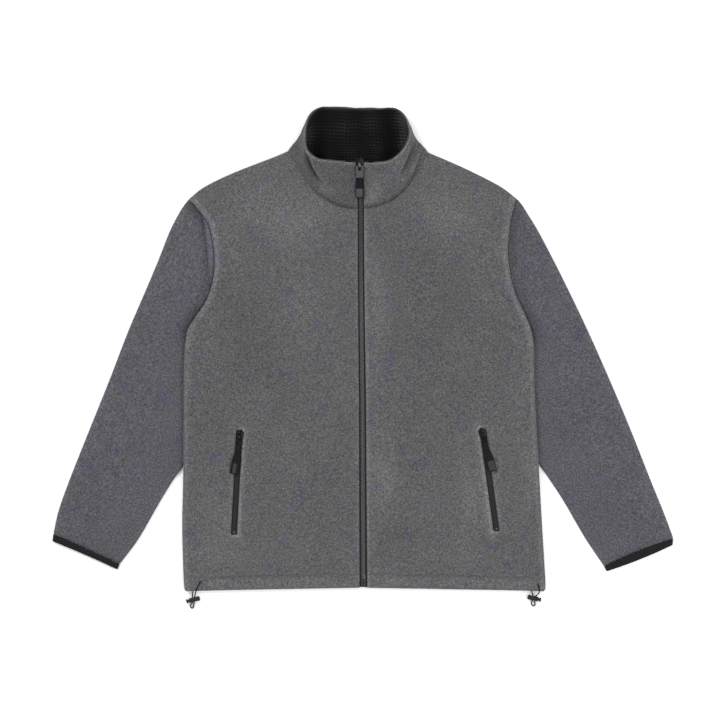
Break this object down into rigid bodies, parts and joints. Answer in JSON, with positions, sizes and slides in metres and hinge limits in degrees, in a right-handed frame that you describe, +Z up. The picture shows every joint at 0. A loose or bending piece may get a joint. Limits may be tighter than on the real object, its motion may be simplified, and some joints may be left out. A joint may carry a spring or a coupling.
{
  "type": "fleece zip jacket",
  "caption": "Grey fleece jacket laid flat, closed by a full front zip to its stand collar, with zipped hand pockets, cuff bands and a hem cord with locks.",
  "frame": {"origin": "on the surface that the jacket lies on, under the middle of its outline", "axes": "+X towards the viewer's right across the sleeves, +Y from hem to collar, +Z up from the surface towards the jacket's front"},
  "size_m": [1.0026, 0.8097, 0.0384],
  "materials": {
    "fleece": "brushed polyester fleece, heather grey, matt and softly napped",
    "sleeve_fleece": "the same fleece, a shade cooler and darker",
    "waffle_lining": "black waffle knit",
    "cuff_binding": "black knitted cuff binding",
    "zip_tape": "woven polyester zip tape, near black",
    "zip_chain": "dark grey moulded acetal teeth",
    "zip_metal": "dark grey painted zinc",
    "pull_rubber": "moulded dark grey rubber, matt",
    "cord": "black round elastic cord",
    "lock_plastic": "black acetal, satin"
  },
  "bodies": {
    "jacket": {"back": "fleece", "front_left": "fleece", "front_right": "fleece", "sleeve_left": "sleeve_fleece", "sleeve_right": "sleeve_fleece", "cuff_left": "cuff_binding", "cuff_right": "cuff_binding", "collar": "fleece", "collar_lining": "waffle_lining", "back_neck_lining": "waffle_lining", "zip_tape_left": "zip_tape", "zip_tape_right": "zip_tape", "zip_chain": "zip_chain", "zip_slider": "zip_metal", "pocket_zip_left": "zip_tape", "pocket_slider_left": "zip_metal", "cord_left": "cord", "lock_barrel_left": "lock_plastic", "pocket_zip_right": "zip_tape", "pocket_slider_right": "zip_metal", "cord_right": "cord", "lock_barrel_right": "lock_plastic"},
    "main_pull": {"zip_pull_link": "zip_metal", "zip_pull_grip": "pull_rubber"},
    "pocket_pull_left": {"pocket_link_left": "zip_metal", "pocket_grip_left": "pull_rubber"},
    "pocket_pull_right": {"pocket_link_right": "zip_metal", "pocket_grip_right": "pull_rubber"},
    "plunger_left": {"lock_plunger_left": "lock_plastic"},
    "plunger_right": {"lock_plunger_right": "lock_plastic"}
  },
  "joints": [
    {"name": "main_pull_hinge", "type": "hinge", "parent": "jacket", "child": "main_pull", "pos_m": [-0.00508, 0.30504, 0.03423], "axis": [-1, 0, 0], "range_deg": [0, 150]},
    {"name": "pocket_pull_left_hinge", "type": "hinge", "parent": "jacket", "child": "pocket_pull_left", "pos_m": [-0.19878, -0.1335, 0.01285], "axis": [-0.9856, 0.1689, 0], "range_deg": [0, 150]},
    {"name": "pocket_pull_right_hinge", "type": "hinge", "parent": "jacket", "child": "pocket_pull_right", "pos_m": [0.19456, -0.1304, 0.01275], "axis": [-0.9624, -0.2715, 0], "range_deg": [0, 150]},
    {"name": "plunger_left_slide", "type": "slide", "parent": "jacket", "child": "plunger_left", "axis": [0.9703, 0.2419, 0], "range_m": [0, 0.0016], "stiffness_N_per_m": 500, "springref_m": -0.002},
    {"name": "plunger_right_slide", "type": "slide", "parent": "jacket", "child": "plunger_right", "axis": [-0.9744, 0.225, 0], "range_m": [0, 0.0016], "stiffness_N_per_m": 500, "springref_m": -0.002}
  ]
}
